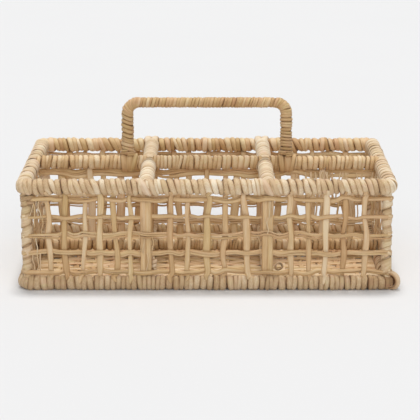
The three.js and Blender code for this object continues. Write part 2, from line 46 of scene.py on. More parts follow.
def middleOf(node):
    low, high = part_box(node)
    return (low + high) / 2


def reachOf(node):  # from its middle to its sides
    low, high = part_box(node)
    return (high - low) / 2


# where the rails run, read from the frame's own wires
rimReach, handleReach = reachOf("rim_wire"), reachOf("handle_wire")
halfLength, halfDepth = rimReach.x - rimReach.z, rimReach.y - rimReach.z  # less half the wire
rimLevel = middleOf("rim_wire").z
baseLevel = middleOf("base_wire").z
midLevel = middleOf("mid_wire").z
crossAt = middleOf("cross_wire_right").x
baseCrossLevel = middleOf("base_cross_wire_right").z
baseMidLevel = middleOf("base_mid_wire").z
legAt = handleReach.x - handleReach.y
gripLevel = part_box("handle_wire")[1].z - handleReach.y
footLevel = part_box("handle_wrap")[0].z
print("rails read: half length", round(halfLength, 4), "half depth", round(halfDepth, 4))

# directions in the shared frame, and the pairs that the loops go through
leftward, rightward = (-1, 0, 0), (1, 0, 0)
frontward, backward = (0, -1, 0), (0, 1, 0)
upward = (0, 0, 1)
leftAndRight = (("left", -1), ("right", 1))
frontAndBack = (("front", -1), ("back", 1))
fourCorners = [(*depth, *side) for depth in frontAndBack for side in leftAndRight]

# a strand is modelled once as a cut rod, then copied and laid along its route
blank = dict(corners=8, lengthwiseRise=1e-4, smoothAngle=math.radians(70), routeSteps=12)
cornerAngle = 2 * math.pi / blank["corners"]
blankStrands = {}  # the rods in use, by how they are cut
strandSection = np.array([  # across, height: a soft crowned strand
    (1.0, 0.0), (0.74, 0.64), (0.0, 1.0), (-0.74, 0.64),
    (-1.0, 0.0), (-0.6, -0.2), (0.0, -0.25), (0.6, -0.2)])
leafSection = np.array([  # a folded leaf, with a crease along it
    (1.0, 0.0), (0.84, 0.7), (0.22, 0.46), (-0.45, 1.0),
    (-1.0, 0.1), (-0.6, -0.22), (0.0, -0.28), (0.6, -0.24)])
cornerTurns = np.arange(blank["corners"]) * cornerAngle
roundSection = np.stack([np.cos(cornerTurns), np.sin(cornerTurns)], axis=1)


def cutAcross(rod, cuts):
    bpy.ops.object.mode_set(mode="EDIT")
    bpy.ops.mesh.select_mode(type="EDGE")
    bpy.ops.mesh.select_all(action="DESELECT")
    bpy.ops.object.mode_set(mode="OBJECT")
    points = rod.data.vertices
    for edge in rod.data.edges:  # the edges that run lengthwise
        low, high = (points[i].co for i in edge.vertices)
        edge.select = abs(low.z - high.z) > blank["lengthwiseRise"]
    bpy.ops.object.mode_set(mode="EDIT")
    bpy.ops.mesh.subdivide(number_cuts=cuts)
    bpy.ops.object.mode_set(mode="OBJECT")


def blankStrand(lengths, steps):  # a rod of unit length, cut into lengths and each of them into steps
    if (lengths, steps) in blankStrands:
        return blankStrands[(lengths, steps)]
    bpy.ops.object.select_all(action="DESELECT")
    bpy.ops.mesh.primitive_cylinder_add(vertices=blank["corners"], radius=1, depth=1, location=(0, 0, 0.5))
    rod = bpy.context.active_object
    rod.name = "blankStrand"
    bpy.ops.object.transform_apply(location=True, rotation=True, scale=True)
    for count in (lengths, steps):
        if count > 1:
            cutAcross(rod, count - 1)
    blankStrands[(lengths, steps)] = rod
    return rod


def unit(rows):
    shortest = 1e-12  # no division by nothing
    return rows / np.maximum(np.linalg.norm(rows, axis=1, keepdims=True), shortest)


def travelled(points):  # the distance gone at each point
    return np.concatenate([[0.0], np.cumsum(np.linalg.norm(np.diff(points, axis=0), axis=1))])


def layStrand(cutting, points, ups, widths, heights, tones, section=strandSection, lowest=None, roll=0.0):
    rod = blankStrand(*cutting)
    strand = rod.copy()
    strand.data = rod.data.copy()
    bpy.context.collection.objects.link(strand)
    rings = cutting[0] * cutting[1]
    points = np.asarray(points, float)
    along = unit(np.gradient(points, axis=0))
    ups = np.asarray(ups, float)
    ups = unit(ups - along * np.sum(ups * along, axis=1, keepdims=True))
    sides = np.cross(ups, along)
    roll = np.broadcast_to(roll, rings + 1)[:, None]  # the strand turned about its own line
    ups, sides = ups * np.cos(roll) + sides * np.sin(roll), sides * np.cos(roll) - ups * np.sin(roll)
    widths, heights, tones = (np.broadcast_to(values, rings + 1) for values in (widths, heights, tones))
    straight = np.zeros(len(strand.data.vertices) * 3)
    strand.data.vertices.foreach_get("co", straight)
    straight = straight.reshape(-1, 3)
    ring = np.rint(straight[:, 2] * rings).astype(int)
    corner = np.rint(np.arctan2(straight[:, 1], straight[:, 0]) / cornerAngle).astype(int) % blank["corners"]
    across, lift = section[corner].T
    laid = (points[ring] + sides[ring] * (across * widths[ring] / 2)[:, None]
            + ups[ring] * (lift * heights[ring])[:, None])
    if lowest is not None:
        laid[:, 2] = np.maximum(laid[:, 2], lowest)
    strand.data.vertices.foreach_set("co", laid.ravel())
    lie = np.stack([travelled(points)[ring], across, tones[ring]], axis=1)  # metres along, place across, tone
    mark = strand.data.attributes.new("strandLie", "FLOAT_VECTOR", "POINT")
    mark.data.foreach_set("vector", lie.ravel().astype(np.float32))
    strand.data.update()
    return strand


def joinStrands(name, strands, slot, material, *nodes):
    bpy.ops.object.select_all(action="DESELECT")
    for strand in strands:
        strand.select_set(True)
    bpy.context.view_layer.objects.active = strands[0]
    bpy.ops.object.join()
    piece = bpy.context.view_layer.objects.active
    piece.name = name
    piece.data.name = name
    bpy.ops.object.shade_smooth_by_angle(angle=blank["smoothAngle"])
    piece.data.materials.clear()
    piece.data.materials.append(material)
    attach(piece, "root")
    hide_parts(*nodes)


def throughPoints(knots, count):  # a smooth route through the knots, evenly spaced: place, then facing
    knots = np.asarray(knots, float)
    padded = np.vstack([2 * knots[:1] - knots[1:2], knots, 2 * knots[-1:] - knots[-2:-1]])
    fine = []
    for p0, p1, p2, p3 in zip(padded, padded[1:], padded[2:], padded[3:]):
        for t in np.linspace(0, 1, blank["routeSteps"], endpoint=False):
            fine.append(0.5 * (2 * p1 + (p2 - p0) * t + (2 * p0 - 5 * p1 + 4 * p2 - p3) * t * t
                               + (3 * p1 - p0 - 3 * p2 + p3) * t ** 3))
    fine.append(knots[-1])
    fine = np.array(fine)
    gone = travelled(fine[:, :3])
    wanted = np.linspace(0, gone[-1], count + 1)
    return np.stack([np.interp(wanted, gone, column) for column in fine.T], axis=1)


def layRoute(route, widths, thick, tone, section=strandSection, lowest=None, roll=0.0):
    places, facings = route[:, :3], route[:, 3:]
    return layStrand((len(route) - 1, 1), places, facings, widths, thick, tone, section, lowest, roll)


def wave(share, rates, chance):  # a ripple along a strand, begun anywhere in its swing
    phases = (0, 6)
    return np.sin(share * chance.uniform(*rates) + chance.uniform(*phases))


def rippled(width, share, look, chance):
    return width * (1 + look["ripple"] * wave(share, look["rippleRates"], chance))


def drawTone(chance, middle, look):
    return np.clip(chance.normal(middle, look["toneSpread"]), *look["toneLimits"])


def fromSrgb(red, green, blue):
    def straight(c):
        c = c / 255
        return c / 12.92 if c <= 0.04045 else ((c + 0.055) / 1.055) ** 2.4
    return (straight(red), straight(green), straight(blue), 1.0)


# material nodes, in a row in the editor: a socket given as an input is linked, a plain value is set, and the
# outputs come back
nodeGap = 200


def newNode(tree, kind):
    node = tree.nodes.new("ShaderNode" + kind)
    node.location.x = nodeGap * len(tree.nodes)
    return node


def feed(tree, node, inputs):
    for key, value in inputs.items():
        if isinstance(value, bpy.types.NodeSocket):
            tree.links.new(value, node.inputs[key])
        else:
            node.inputs[key].default_value = value


def addNode(tree, kind, inputs, **settings):
    node = newNode(tree, kind)
    for key, value in settings.items():
        setattr(node, key, value)
    feed(tree, node, inputs)
    return node.outputs


def addNoise(tree, vector, scale=1.0, **more):
    return addNode(tree, "TexNoise", dict(Vector=vector, Scale=scale, **more))["Fac"]


def addRange(tree, value, ends, limits=(0.0, 1.0)):  # limits of the value become the ends
    names = ("Value", "From Min", "From Max", "To Min", "To Max")
    return addNode(tree, "MapRange", dict(zip(names, (value, *limits, *ends))))["Result"]


def addRamp(tree, value, colours):  # colours evenly spaced, dark to pale
    node = newNode(tree, "ValToRGB")
    stops = node.color_ramp.elements
    while len(stops) < len(colours):
        stops.new(0.5)
    for index, (stop, colour) in enumerate(zip(stops, colours)):
        stop.position = index / (len(colours) - 1)
        stop.color = colour
    tree.links.new(value, node.inputs["Fac"])
    return node.outputs["Color"]


def newMaterial(name):
    material = bpy.data.materials.new(name)
    material.use_nodes = True
    return material, material.node_tree, material.node_tree.nodes["Principled BSDF"]


def fibreMaterial(name, look):
    material, tree, shader = newMaterial(name)
    lie = addNode(tree, "Attribute", {}, attribute_name="strandLie")["Vector"]
    along, across, tone = addNode(tree, "SeparateXYZ", dict(Vector=lie)).values()

    def maths(kind, first, second=0.0, clamp=False):
        return addNode(tree, "Math", {0: first, 1: second}, operation=kind, use_clamp=clamp)["Value"]

    def times(value, key):
        return maths("MULTIPLY", value, look[key])

    # long thin fibres: slow along the strand, quick across it, others on a strand of another tone
    grain = addNode(tree, "CombineXYZ", dict(
        X=times(along, "fibreAlong"), Y=times(across, "fibreAcross"), Z=times(tone, "fibreByTone")))["Vector"]
    fibre = addNoise(tree, grain, Detail=look["fibreDetail"], Roughness=look["fibreRoughness"])
    # slow blotches of sun and water on the leaf
    place = addNode(tree, "TexCoord", {})["Object"]
    blotch = addNoise(tree, place, look["blotchScale"], Detail=look["blotchDetail"])
    # one value from dark to pale: the strand's own tone, its fibres and blotches, less painted shade at its
    # edges where strands meet (in part the leaf's browner margins)
    mixed = maths("ADD", times(tone, "toneShare"), times(fibre, "fibreShare"))
    mixed = maths("ADD", mixed, times(blotch, "blotchShare"))
    # painted shade: the strand darkens towards both edges, standing in for the crevices between strands
    edge = maths("POWER", maths("ABSOLUTE", across), look["edgeShadePower"])
    mixed = maths("SUBTRACT", mixed, times(edge, "edgeShadeShare"), clamp=True)
    colour = addRamp(tree, mixed, [fromSrgb(*stop) for stop in look["colours"]])
    # some strands lean to green, some to pink
    lot = addNode(tree, "CombineXYZ", dict(X=times(tone, "lotByTone"), Y=times(along, "lotAlong")))["Vector"]
    plainHue = 0.5
    hue = addRange(tree, addNoise(tree, lot), (plainHue - look["hueSpread"], plainHue + look["hueSpread"]),
                   look["lotRange"])
    tint = addNode(tree, "HueSaturation", dict(Hue=hue, Color=colour))["Color"]
    bump = addNode(tree, "Bump", dict(
        Strength=look["bump"], Distance=look["bumpDepth"], Height=fibre))["Normal"]
    feed(tree, shader, {
        "Base Color": tint, "Roughness": addRange(tree, fibre, look["rough"]), "Normal": bump,
        "Specular IOR Level": look["shine"], "Sheen Weight": look["sheen"],
        "Sheen Roughness": look["sheenRough"], "Sheen Tint": fromSrgb(*look["sheenColour"])})
    return material


fibreLook = dict(
    fibreAlong=45.0, fibreAcross=3.4, fibreByTone=61.0, fibreDetail=4.0, fibreRoughness=0.62,
    blotchScale=26.0, blotchDetail=2.0, toneShare=0.6, fibreShare=0.5, blotchShare=0.26,
    edgeShadeShare=0.55, edgeShadePower=5.0, lotByTone=173.0, lotAlong=6.0, lotRange=(0.3, 0.7), hueSpread=0.012,
    rough=(0.5, 0.78), bump=0.6, bumpDepth=0.0014,
    shine=0.3, sheen=0.25, sheenRough=0.5, sheenColour=(255, 246, 232),
    colours=[(58, 36, 18), (126, 90, 56), (180, 145, 104), (216, 187, 148), (243, 228, 202)])
goldenLook = dict(  # a warmer, deeper ramp: the handle's own golden colour, and on the pieces inside the caddy painted warm light bounced between the strands
    fibreLook,
    colours=[(70, 42, 18), (142, 100, 58), (195, 155, 106), (223, 190, 144), (241, 220, 186)])
weaveLook = dict(
    fibreLook, fibreAcross=4.2, edgeShadeShare=0.36, hueSpread=0.008,
    colours=[(70, 41, 17), (140, 98, 56), (191, 150, 101), (219, 185, 138), (242, 221, 187)])

# the edge share sets how much painted shade darkens each strand's edges; strongest on the wound rails
rimFibre = fibreMaterial("rimFibre", dict(fibreLook, edgeShadeShare=0.68))
backRimFibre = fibreMaterial("backRimFibre", dict(goldenLook, edgeShadeShare=0.72))
baseFibre = fibreMaterial("baseFibre", dict(fibreLook, blotchScale=22.0))
crossFibre = fibreMaterial("crossFibre", dict(fibreLook, edgeShadeShare=0.36, fibreAcross=5.0))
midFibre = fibreMaterial("midFibre", dict(goldenLook, edgeShadeShare=0.82))
handleFibre = fibreMaterial("handleFibre", dict(goldenLook, blotchScale=40.0))
weaveFibre = fibreMaterial("weaveFibre", weaveLook)
floorFibre = fibreMaterial("floorFibre", dict(goldenLook, blotchScale=18.0))


def speckledMaterial(name, look):  # two near colours in a noise
    material, tree, shader = newMaterial(name)
    place = addNode(tree, "TexCoord", {})["Object"]
    speck = addNoise(tree, place, look["speckScale"])
    rough = look["rough"]
    if isinstance(rough, tuple):  # two values follow the noise too, one goes straight to the shader
        rough = addRange(tree, speck, rough)
    feed(tree, shader, {
        "Base Color": addRamp(tree, speck, look["colours"]), "Roughness": rough,
        "Metallic": look["metal"], "Specular IOR Level": look["shine"]})
    return material


wireLook = dict(speckScale=420.0, colours=[fromSrgb(62, 48, 36), fromSrgb(104, 84, 62)], rough=(0.35, 0.6),
                metal=0.7, shine=0.5)
wirePaint = speckledMaterial("frameWirePaint", wireLook)
for name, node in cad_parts.items():
    if name.endswith("_wire") or "_wire_" in name:
        node.data.materials.clear()
        node.data.materials.append(wirePaint)
print("materials ready")


# a path that a winding follows: its points, the direction that stays square to it, how tightly the turns pack
# between two points, and how thick and how slanted the winding is at each point
def pathOf(points, fixed, packing=None, girth=None, slant=None):
    points = np.array(points, float)
    packing = np.ones(len(points) - 1) if packing is None else np.array(packing, float)
    girth = np.ones(len(points)) if girth is None else np.array(girth, float)
    slant = np.zeros(len(points)) if slant is None else np.array(slant, float)
    return dict(points=points, fixed=np.array(fixed, float), packing=packing, girth=girth, slant=slant,
                gone=travelled(points))


def walk(path, distances):  # place and heading at each distance, straight on past the ends
    points, gone = path["points"], path["gone"]
    inside = np.clip(distances, 0, gone[-1])
    centre = np.stack([np.interp(inside, gone, column) for column in points.T], axis=1)
    lead = unit(np.diff(points, axis=0))
    half = (gone[:-1] + gone[1:]) / 2
    heading = unit(np.stack([np.interp(inside, half, column) for column in lead.T], axis=1))
    return centre + heading * (distances - inside)[:, None], heading


turnLimits = dict(share=(0.6, 1.7), lift=1.6, lean=0.5, drift=0.2, tone=(0.3, 1.0), roll=0.35)


def wind(path, look, index=0):  # one strand wound round the path as a true helix
    chance = np.random.default_rng(look["seed"] + index)
    gone = path["gone"]
    packed = np.concatenate([[0.0], np.cumsum(np.diff(gone) * path["packing"])])
    turns = max(2, round(packed[-1] / look["pitch"]))
    t = np.linspace(0, turns, turns * look["steps"] + 1)
    whole = np.minimum(t.astype(int), turns)
    blend = (1 - np.cos(np.pi * np.clip((t - whole - look["hold"]) / (1 - look["hold"]), 0, 1))) / 2
    # broad and narrow turns, packed edge to edge
    shares = np.clip(chance.normal(1, look["widthSpread"], turns + 2), *turnLimits["share"])
    edges = np.concatenate([[0.0], np.cumsum(shares)]) - shares[0]
    edges = edges * packed[-1] / edges[turns + 1]
    marks = np.arange(-1, turns + 2)

    def perTurn(middle, spread, low, high):  # one value a turn, eased into the next
        values = np.clip(chance.normal(middle, spread, turns + 2), low, high)
        return values[whole] * (1 - blend) + values[whole + 1] * blend

    def aboutPlain(key):  # a look's own value, within the limits either way
        return perTurn(look[key], look[key + "Spread"], -turnLimits[key], turnLimits[key])

    width = look["widthShare"] * (np.interp(t + 1, marks, edges) - np.interp(t - 1, marks, edges)) / 2
    width[t > turns - 1] = width[t <= turns - 1][-1]
    highest = turnLimits["lift"] * look["lift"]
    radius = look["radius"] - look["thick"] + perTurn(0, look["lift"], -highest, highest)
    lean = aboutPlain("lean")
    drift = look["pitch"] * perTurn(0, look["drift"], -turnLimits["drift"], turnLimits["drift"])
    shade = perTurn(look["tone"], look["toneSpread"], *turnLimits["tone"])
    roll = aboutPlain("roll")
    turn = 2 * np.pi * t + math.pi
    radius = radius * (1 + look["square"] * np.sin(2 * turn) ** 2)  # drawn tight, it lies flat on four sides
    onward = np.interp(np.interp(t, marks, edges), packed, gone)
    radius = radius * np.interp(onward, gone, path["girth"])
    slant = np.interp(onward, gone, path["slant"]) * np.sin(turn)  # turns askew as seen from the fixed side
    centre, heading = walk(path, onward + drift - radius * (lean * np.cos(turn) + slant))
    first = np.broadcast_to(path["fixed"], centre.shape)
    second = np.cross(heading, first)
    outward = first * np.cos(turn)[:, None] + second * np.sin(turn)[:, None]
    points = centre + outward * radius[:, None]
    return layStrand((turns, look["steps"]), points, outward, width, look["thick"], shade,
                     lowest=look["lowest"], roll=roll)


def core(path, look):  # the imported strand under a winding
    length = path["gone"][-1]
    ringGap, fewest = 0.004, 4
    count = max(fewest, int(length / ringGap))
    along = np.linspace(0, length, count + 1)
    centre = walk(path, along)[0]
    radius = look["coreRadius"] * np.interp(along, path["gone"], path["girth"])
    up = np.broadcast_to(path["fixed"], centre.shape)
    return layStrand((count, 1), centre, up, radius * 2, radius, look["coreTone"], roundSection,
                     look["coreLowest"])


def wound(path, look, index=0):
    return [wind(path, look, index), core(path, look)]


bendSteps = 8


def quarter(middle, start, end, bend):  # points of a bend from one direction round to the next
    middle, start, end = (np.array(v, float) for v in (middle, start, end))
    angles = np.linspace(0, math.pi / 2, bendSteps + 1)
    return [tuple(middle + start * bend * math.cos(a) + end * bend * math.sin(a)) for a in angles]


loop = dict(bend=0.0085, cornerPacking=2.0, overlap=0.003)


def railSide(side, level):  # front and back turn the corners, left and right run between them
    way = 1 if side in ("front", "right") else -1
    acrossAt, depthAt = way * (halfLength - loop["bend"]), way * (halfDepth - loop["bend"])
    if side in ("front", "back"):
        points = (quarter((-acrossAt, -depthAt, level), (-way, 0, 0), (0, -way, 0), loop["bend"])
                  + quarter((acrossAt, -depthAt, level), (0, -way, 0), (way, 0, 0), loop["bend"]))
        corner = [loop["cornerPacking"]] * bendSteps
        return pathOf(points, upward, corner + [1.0] + corner)
    reach = depthAt + way * loop["overlap"]
    return pathOf([(way * halfLength, -reach, level), (way * halfLength, reach, level)], upward)


tie = dict(steps=24, taper=([0, 0.12, 0.88, 1], [0.6, 1, 1, 0.6]))


def aroundRail(out, look):  # steps from the first angle to the last, and the way out at each
    share = np.linspace(0, 1, tie["steps"] + 1)
    angles = np.radians(np.interp(share, [0, 1], look["angles"]))
    return share, np.outer(np.cos(angles), out) + np.outer(np.sin(angles), upward)


def overRail(place, ahead, out, look):  # a strand laid over a rail, narrowed at both ends
    share, radial = aroundRail(out, look)
    points = place + np.outer(share * look["shift"] - look["shift"] / 2, ahead) + radial * look["radius"]
    widths = look["width"] * np.interp(share, *tie["taper"])
    return layStrand((tie["steps"], 1), points, radial, widths, look["thick"], look["tone"])


def openCurl(look):  # the last turn of the strand, left open at the front right corner
    facing = np.array((*look["facing"], 0.0))
    share, radial = aroundRail(np.cross(upward, facing), look)
    reach = look["radius"] * np.interp(share, *look["reachTaper"])
    place = np.array((*look["at"], baseLevel + look["rise"]))
    middle = place + np.outer(np.interp(share, [0, 1], look["creep"]), facing)
    points = middle + radial * reach[:, None]
    widths = look["width"] * np.interp(share, *look["taper"])
    ring = layStrand((tie["steps"], 1), points, radial, widths, look["thick"], look["tone"], lowest=0.0)
    # the plug is dark: painted shade inside the open curl
    hollow = look["hollow"]  # what closes the turn, dark inside
    rings = hollow["steps"] + 1
    inside = place + np.outer(np.linspace(*hollow["reach"], rings), facing)
    plug = layStrand((hollow["steps"], 1), inside, np.tile(upward, (rings, 1)), hollow["radius"] * 2,
                     hollow["radius"], hollow["tone"], roundSection, hollow["lowest"])
    return [ring, plug]


# the core under the turns is dark: painted shade that shows in the gaps between turns
plainTurns = dict(square=0.0, lowest=None, coreTone=0.3, coreLowest=None)
rimWinding = dict(
    plainTurns, radius=0.0086, thick=0.0025, pitch=0.0063, steps=18, widthShare=1.13, widthSpread=0.3,
    lift=0.0004, square=0.07, lean=0.12, leanSpread=0.15, drift=0.06, roll=0.1, rollSpread=0.1,
    tone=0.65, toneSpread=0.18, hold=0.5, rise=0.0, seed=11, coreRadius=0.0067)
sideRimWinding = dict(
    rimWinding, thick=0.0018, pitch=0.0115, widthShare=1.25, widthSpread=0.2, lift=0.0003,
    lean=0.15, leanSpread=0.06, tone=0.76, toneSpread=0.12, roll=0.07, rollSpread=0.04)
rimWindings = dict(
    front=dict(rimWinding, radius=0.009, rise=0.0005),
    right=sideRimWinding,
    back=dict(rimWinding, lean=-0.1, tone=0.67, toneSpread=0.2),
    left=dict(sideRimWinding, roll=-0.02, rollSpread=0.03))
baseWinding = dict(
    rimWinding, pitch=0.0064, widthSpread=0.26, lean=-0.2, leanSpread=0.08, tone=0.5, toneSpread=0.12,
    # the back base winding is paler: painted light on a rail that sits in shade inside the caddy
    lowest=0.0, seed=31, coreRadius=0.0066, coreLowest=0.0012, backTone=0.8)
baseCurl = dict(
    at=(halfLength + 0.0036, -halfDepth + 0.0004), facing=(-0.5, -0.866), rise=0.0026, angles=(250, -150),
    creep=(-0.001, 0.0025), radius=0.0071, reachTaper=([0, 0.8, 1], [0.94, 1, 0.9]),
    width=0.0088, taper=([0, 0.1, 0.85, 1], [0.7, 1, 1, 0.4]), thick=0.0042, tone=0.72,
    # the hollow's dark tone is painted shade inside the curl
    hollow=dict(steps=4, reach=(-0.006, 0.0006), radius=0.0066, tone=-0.3, lowest=0.0012))
for index, (side, look) in enumerate(rimWindings.items()):
    path = railSide(side, rimLevel + look["rise"])
    joinStrands("rimWinding" + side.title(), wound(path, look, index),
                "rim_strand", backRimFibre if side == "back" else rimFibre, "rim_wrap_" + side)
    path = railSide(side, baseLevel)
    look = dict(baseWinding, tone=baseWinding["backTone"]) if side == "back" else baseWinding
    strands = wound(path, look, index)
    if side == "front":
        strands += openCurl(baseCurl)
    joinStrands("baseWinding" + side.title(), strands,
                "base_strand", backRimFibre if side == "back" else baseFibre, "base_wrap_" + side)
print("rim and base windings laid")

crossWinding = dict(
    plainTurns, radius=0.0087, thick=0.0018, pitch=0.0096, steps=20, widthShare=1.25, widthSpread=0.2,
    lift=0.0002, lean=0.14, leanSpread=0.06, drift=0.03, roll=0.07, rollSpread=0.03,
    tone=0.8, toneSpread=0.12, hold=0.4, seed=51, coreRadius=0.0068, coreTone=0.5, inset=0.003, climb=0.001)
baseCrossWinding = dict(
    crossWinding, radius=0.0061, thick=0.0016, pitch=0.0072, tone=0.66, toneSpread=0.14, seed=55,
    coreRadius=0.0048, coreTone=0.3, inset=0.004)
rimTie = dict(radius=0.0078, angles=(140, -75), thick=0.0022)
backTie = dict(radius=0.0088, angles=(165, -60), shift=0.003, width=0.0085, thick=0.0022, tone=0.86)
crossTies = dict(  # at: where the strand lies along the rail that it goes over
    front=[dict(rimTie, at=-0.003, shift=0.0165, width=0.0088, tone=0.76),
           dict(rimTie, at=0.0062, shift=0.013, width=0.0062, tone=0.68)],
    back=[dict(backTie, at=-0.0042), dict(backTie, at=0.0042)],
    middle=dict(radius=0.009, angles=(-40, 220), at=0.002, shift=-0.018, width=0.0078, thick=0.0018,
                tone=0.8))
knotWinding = dict(
    crossWinding, thick=0.0013, pitch=0.0034, widthShare=1.05, tone=0.86, toneSpread=0.1, seed=57)
baseKnots = dict(  # where each base cross rail's strand is tied off beside its front post
    left=dict(points=[(0.0082, 0.0062, 0.0205), (0.0092, 0.0062, 0.0345)], fixed=backward,
              winding=dict(knotWinding, radius=0.0034, pitch=0.0052, lean=0.45)),
    right=dict(points=[(0.0136, 0.0062, 0.0248), (0.0128, 0.0175, 0.021)], fixed=rightward,
               winding=dict(knotWinding, radius=0.0047)))
for index, (sideName, way) in enumerate(leftAndRight):
    x = way * crossAt
    reach = halfDepth - crossWinding["inset"]
    path = pathOf([(x, -reach, rimLevel), (x, reach, rimLevel + crossWinding["climb"])], upward)
    strands = wound(path, crossWinding, index)
    for depthName, depthWay in frontAndBack:
        for look in crossTies[depthName]:
            place = (x + look["at"], depthWay * halfDepth, rimLevel)
            strands.append(overRail(place, rightward, (0, depthWay, 0), look))
    look = crossTies["middle"]
    strands.append(overRail((x, look["at"], rimLevel), backward, rightward, look))
    joinStrands("crossWinding" + sideName.title(), strands,
                "cross_strand", crossFibre, "cross_wrap_" + sideName)
    reach = halfDepth - baseCrossWinding["inset"]
    path = pathOf([(x, -reach, baseCrossLevel), (x, reach, baseCrossLevel)], upward)
    knot = baseKnots[sideName]
    knotPath = pathOf(np.array(knot["points"]) + (x, -halfDepth, 0), knot["fixed"])
    strands = wound(path, baseCrossWinding, index) + [wind(knotPath, knot["winding"], index)]
    joinStrands("baseCrossWinding" + sideName.title(), strands,
                "base_strand", baseFibre, "base_cross_wrap_" + sideName)

midWinding = dict(
    rimWinding, radius=0.0083, thick=0.002, pitch=0.005, widthShare=1.16, widthSpread=0.32, lift=0.0003,
    lean=-0.26, leanSpread=0.09, drift=0.05, roll=0.08, rollSpread=0.08, tone=0.7, seed=61,
    coreRadius=0.0066, inset=0.004)
baseMidWinding = dict(midWinding, radius=0.0066, tone=0.56, seed=67, coreRadius=0.0049)
midSag = dict(left=0.0012, middle=0.0015, right=0.002)  # the strand hangs a little low on its wire
midStops = [-halfLength, -crossAt, crossAt, halfLength]
for index, (part, sag) in enumerate(midSag.items()):
    start, end = midStops[index] + midWinding["inset"], midStops[index + 1] - midWinding["inset"]
    path = pathOf([(start, 0, midLevel - sag), (end, 0, midLevel - sag)], upward)
    joinStrands("midWinding" + part.title(), wound(path, midWinding, index),
                "mid_strand", midFibre, "mid_wrap_" + part)
reach = halfLength - baseMidWinding["inset"]
path = pathOf([(-reach, 0, baseMidLevel), (reach, 0, baseMidLevel)], upward)
joinStrands("baseMidWinding", wound(path, baseMidWinding), "base_strand", midFibre, "base_mid_wrap")
print("divider windings laid")

handle = dict(
    plainTurns, bend=0.0125, legPacking=0.8, bendPacking=1.4, legGirth=1.22, slants=(0.5, 0.2),
    radius=0.0062, thick=0.0017, pitch=0.0032, steps=16, widthShare=1.26, widthSpread=0.3, lift=0.00025,
    square=0.06, lean=0.05, leanSpread=0.1, drift=0.05, roll=0.08, rollSpread=0.1, tone=0.48, toneSpread=0.13,
    hold=0.5, seed=150, coreRadius=0.0046)
bend = handle["bend"]
points = ([(-legAt, 0, footLevel)]
          + quarter((-legAt + bend, 0, gripLevel - bend), leftward, upward, bend)
          + quarter((legAt - bend, 0, gripLevel - bend), upward, rightward, bend)
          + [(legAt, 0, footLevel)])
legPacking, bendPacking = [handle["legPacking"]], [handle["bendPacking"]] * bendSteps
packing = legPacking + bendPacking + [1.0] + bendPacking + legPacking
order = np.arange(len(points))
leftBend, rightBend = (1, bendSteps + 1), (bendSteps + 2, 2 * bendSteps + 2)  # their first and last points
girths = np.interp(order, leftBend + rightBend, [handle["legGirth"], 1.0, 1.0, handle["legGirth"]])
slants = np.interp(order, rightBend, handle["slants"])  # the turns lie level on the right leg
path = pathOf(points, frontward, packing, girths, slants)
joinStrands("handleWinding", wound(path, handle), "handle_strand", handleFibre, "handle_wrap")

corner = dict(inset=0.0027, radius=0.0053, endGap=0.005)
postWinding = dict(
    plainTurns, radius=0.0056, thick=0.0011, pitch=0.0104, steps=18, widthShare=1.0, widthSpread=0.34,
    lift=0.0003, lean=0.12, leanSpread=0.2, drift=0.1, roll=0.06, rollSpread=0.12, tone=0.68, toneSpread=0.1,
    hold=0.4, seed=81, coreRadius=0.0039, coreTone=0.4)
underWinding = dict(  # a second strand that shows between the turns
    postWinding, radius=0.0045, thick=0.0013, pitch=0.0058, widthShare=1.35, tone=0.56,
    lean=0.2, leanSpread=0.1, drift=0.05, seed=85)
coilWinding = dict(
    postWinding, radius=0.0086, thick=0.0021, pitch=0.0034, widthShare=1.05, tone=0.34, lean=0.22, seed=91,
    # the coil's core is darker still: painted shade deep between its turns
    coreRadius=0.006, coreTone=-0.1, points=[(0.0022, 0, -0.0195), (0.0014, 0, -0.0095)])
for index, (depthName, depthWay, sideName, sideWay) in enumerate(fourCorners):
    x, y = sideWay * (halfLength - corner["inset"]), depthWay * (halfDepth - corner["inset"])
    path = pathOf([(x, y, baseLevel + corner["endGap"]), (x, y, rimLevel - corner["endGap"])], backward)
    strands = [wind(path, postWinding, index), wind(path, underWinding, index), core(path, postWinding)]
    if (depthName, sideName) == ("front", "left"):  # the coil tied under this corner
        path = pathOf(np.array(coilWinding["points"]) + (x, y, rimLevel), backward)
        strands += wound(path, coilWinding)
    joinStrands("cornerWinding" + depthName.title() + sideName.title(), strands,
                "base_strand", crossFibre, "corner_wrap_" + depthName + "_" + sideName)
print("handle and corner windings laid")

# woven panels: stakes and wefts that pass over and under each other; each weft is one leaf or a few thin ones
weave = dict(
    levels=[0.0209, 0.0413, 0.06175, 0.0822, 0.1026], railRadius=0.0086,
    toneSpread=0.12, toneLimits=(0.25, 1),
    leaves=[[(0.0004, 0.0044), (-0.0022, 0.0022)],  # height over the weft's own level, breadth
            [(0.0011, 0.0034), (-0.0014, 0.0028)],
            [(0.0019, 0.0022), (0.0, 0.0026), (-0.0019, 0.002)],
            [(0.0, 0.0049)],
            [(-0.0003, 0.0045), (0.0021, 0.0018)]])
stakeLook = dict(
    steps=36, width=0.0067, thick=0.0013, swing=0.0008, lean=0.022, wander=0.001, tuck=0.004, paler=0.01,
    overBase=0.75, baseAngles=(58, 82), baseEnd=(0, 40), overRim=0.6, rimAngles=(-80, -52), rimEnd=(-35, 0),
    breadths=(0.8, 1.2), taper=([0, 0.05, 0.12, 0.9, 1], [0.3, 0.82, 1, 1, 0.6]),
    ripple=0.12, rippleRates=(6, 14),
    twist=0.35, twistRates=(3, 9), twistTaper=([0, 0.15, 0.85, 1], [0, 1, 1, 0]))
